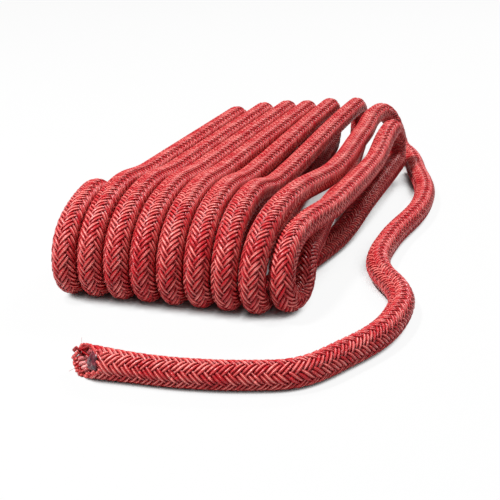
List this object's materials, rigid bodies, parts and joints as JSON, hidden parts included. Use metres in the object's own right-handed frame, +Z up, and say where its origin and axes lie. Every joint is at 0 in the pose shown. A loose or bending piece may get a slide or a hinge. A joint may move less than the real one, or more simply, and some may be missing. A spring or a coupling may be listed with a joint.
{
  "type": "coiled dock line",
  "caption": "Double-braid dock line laid in a hank of flat turns, with its free tail on the floor and hot-cut, fused ends.",
  "frame": {"origin": "middle of the floor area that the line covers, on the floor", "axes": "+Z up; +Y along the turns, from the front bights to the back bights; +X across the turns, towards the free tail"},
  "size_m": [0.1881, 0.3848, 0.0494],
  "materials": {
    "cover_nylon": "crimson filament nylon, plaited, with a soft sheen",
    "core_nylon": "paler red filament nylon, plaited",
    "fused_nylon": "melted and set nylon, dark and uneven"
  },
  "bodies": {
    "turn_1": {"cover_turn_1": "cover_nylon", "core_turn_1": "core_nylon", "hidden_end_seal": "fused_nylon"},
    "turn_2": {"cover_turn_2": "cover_nylon", "core_turn_2": "core_nylon"},
    "turn_3": {"cover_turn_3": "cover_nylon", "core_turn_3": "core_nylon"},
    "turn_4": {"cover_turn_4": "cover_nylon", "core_turn_4": "core_nylon"},
    "turn_5": {"cover_turn_5": "cover_nylon", "core_turn_5": "core_nylon"},
    "turn_6": {"cover_turn_6": "cover_nylon", "core_turn_6": "core_nylon"},
    "turn_7": {"cover_turn_7": "cover_nylon", "core_turn_7": "core_nylon"},
    "turn_8": {"cover_turn_8": "cover_nylon", "core_turn_8": "core_nylon"},
    "turn_9": {"cover_turn_9": "cover_nylon", "core_turn_9": "core_nylon"},
    "tail_1": {"cover_tail_1": "cover_nylon", "core_tail_1": "core_nylon"},
    "tail_2": {"cover_tail_2": "cover_nylon", "core_tail_2": "core_nylon"},
    "tail_3": {"cover_tail_3": "cover_nylon", "core_tail_3": "core_nylon"},
    "tail_4": {"cover_tail_4": "cover_nylon", "core_tail_4": "core_nylon"},
    "tail_5": {"cover_tail_5": "cover_nylon", "core_tail_5": "core_nylon"},
    "tail_6": {"cover_tail_6": "cover_nylon", "core_tail_6": "core_nylon"},
    "tail_7": {"cover_tail_7": "cover_nylon", "core_tail_7": "core_nylon"},
    "tail_8": {"cover_tail_8": "cover_nylon", "core_tail_8": "core_nylon"},
    "tail_9": {"cover_tail_9": "cover_nylon", "core_tail_9": "core_nylon", "tail_end_seal": "fused_nylon"}
  },
  "joints": [
    {"name": "turn_2_fan", "type": "hinge", "parent": "turn_1", "child": "turn_2", "pos_m": [-0.0826, 0.10203, 0.01418], "axis": [0, 0, 1], "range_deg": [0, 3]},
    {"name": "turn_3_fan", "type": "hinge", "parent": "turn_2", "child": "turn_3", "pos_m": [-0.0721, 0.13203, 0.02067], "axis": [0, 0, 1], "range_deg": [0, 3]},
    {"name": "turn_4_fan", "type": "hinge", "parent": "turn_3", "child": "turn_4", "pos_m": [-0.0588, 0.15003, 0.02067], "axis": [0, 0, 1], "range_deg": [0, 3]},
    {"name": "turn_5_fan", "type": "hinge", "parent": "turn_4", "child": "turn_5", "pos_m": [-0.0456, 0.16103, 0.02067], "axis": [0, 0, 1], "range_deg": [0, 3]},
    {"name": "turn_6_fan", "type": "hinge", "parent": "turn_5", "child": "turn_6", "pos_m": [-0.0325, 0.16603, 0.02067], "axis": [0, 0, 1], "range_deg": [0, 3]},
    {"name": "turn_7_fan", "type": "hinge", "parent": "turn_6", "child": "turn_7", "pos_m": [-0.0194, 0.17803, 0.02067], "axis": [0, 0, 1], "range_deg": [0, 3]},
    {"name": "turn_8_fan", "type": "hinge", "parent": "turn_7", "child": "turn_8", "pos_m": [-0.002, 0.18603, 0.02067], "axis": [0, 0, 1], "range_deg": [0, 3]},
    {"name": "turn_9_fan", "type": "hinge", "parent": "turn_8", "child": "turn_9", "pos_m": [0.0379, 0.12653, 0.0245], "axis": [0, 0, 1], "range_deg": [-0.9, 0]},
    {"name": "tail_swing_1", "type": "hinge", "parent": "turn_9", "child": "tail_1", "pos_m": [0.0554, 0.11703, 0.00635], "axis": [0, 0, 1], "range_deg": [0, 10]},
    {"name": "tail_swing_2", "type": "hinge", "parent": "tail_1", "child": "tail_2", "pos_m": [0.0683, 0.05803, 0.00635], "axis": [0, 0, 1], "range_deg": [0, 10]},
    {"name": "tail_swing_3", "type": "hinge", "parent": "tail_2", "child": "tail_3", "pos_m": [0.0635, -0.00597, 0.00635], "axis": [0, 0, 1], "range_deg": [0, 10]},
    {"name": "tail_swing_4", "type": "hinge", "parent": "tail_3", "child": "tail_4", "pos_m": [0.0759, -0.06197, 0.00635], "axis": [0, 0, 1], "range_deg": [0, 10]},
    {"name": "tail_curl_5", "type": "hinge", "parent": "tail_4", "child": "tail_5", "pos_m": [0.0877, -0.09597, 0.00635], "axis": [0, 0, 1], "range_deg": [-6, 12]},
    {"name": "tail_curl_6", "type": "hinge", "parent": "tail_5", "child": "tail_6", "pos_m": [0.0765, -0.14097, 0.00635], "axis": [0, 0, 1], "range_deg": [-6, 12]},
    {"name": "tail_lift_7", "type": "hinge", "parent": "tail_6", "child": "tail_7", "pos_m": [0.0525, -0.17147, 0.00635], "axis": [-0.3697, 0.9292, 0], "range_deg": [0, 15]},
    {"name": "tail_lift_8", "type": "hinge", "parent": "tail_7", "child": "tail_8", "pos_m": [0.0239, -0.18077, 0.00635], "axis": [-0.2212, 0.9752, 0], "range_deg": [0, 15]},
    {"name": "tail_lift_9", "type": "hinge", "parent": "tail_8", "child": "tail_9", "pos_m": [0.00937, -0.18336, 0.00635], "axis": [-0.1191, 0.9929, 0], "range_deg": [0, 15]}
  ],
  "couplings": [
    {"joint": "turn_3_fan", "follows": "turn_2_fan", "ratio": 1},
    {"joint": "turn_4_fan", "follows": "turn_2_fan", "ratio": 1},
    {"joint": "turn_5_fan", "follows": "turn_2_fan", "ratio": 1},
    {"joint": "turn_6_fan", "follows": "turn_2_fan", "ratio": 1},
    {"joint": "turn_7_fan", "follows": "turn_2_fan", "ratio": 1},
    {"joint": "turn_8_fan", "follows": "turn_2_fan", "ratio": 1},
    {"joint": "turn_9_fan", "follows": "turn_2_fan", "ratio": -0.3},
    {"joint": "tail_swing_2", "follows": "tail_swing_1", "ratio": 1},
    {"joint": "tail_swing_3", "follows": "tail_swing_1", "ratio": 1},
    {"joint": "tail_swing_4", "follows": "tail_swing_1", "ratio": 1},
    {"joint": "tail_curl_6", "follows": "tail_curl_5", "ratio": 1},
    {"joint": "tail_lift_8", "follows": "tail_lift_7", "ratio": 1},
    {"joint": "tail_lift_9", "follows": "tail_lift_7", "ratio": 1}
  ]
}
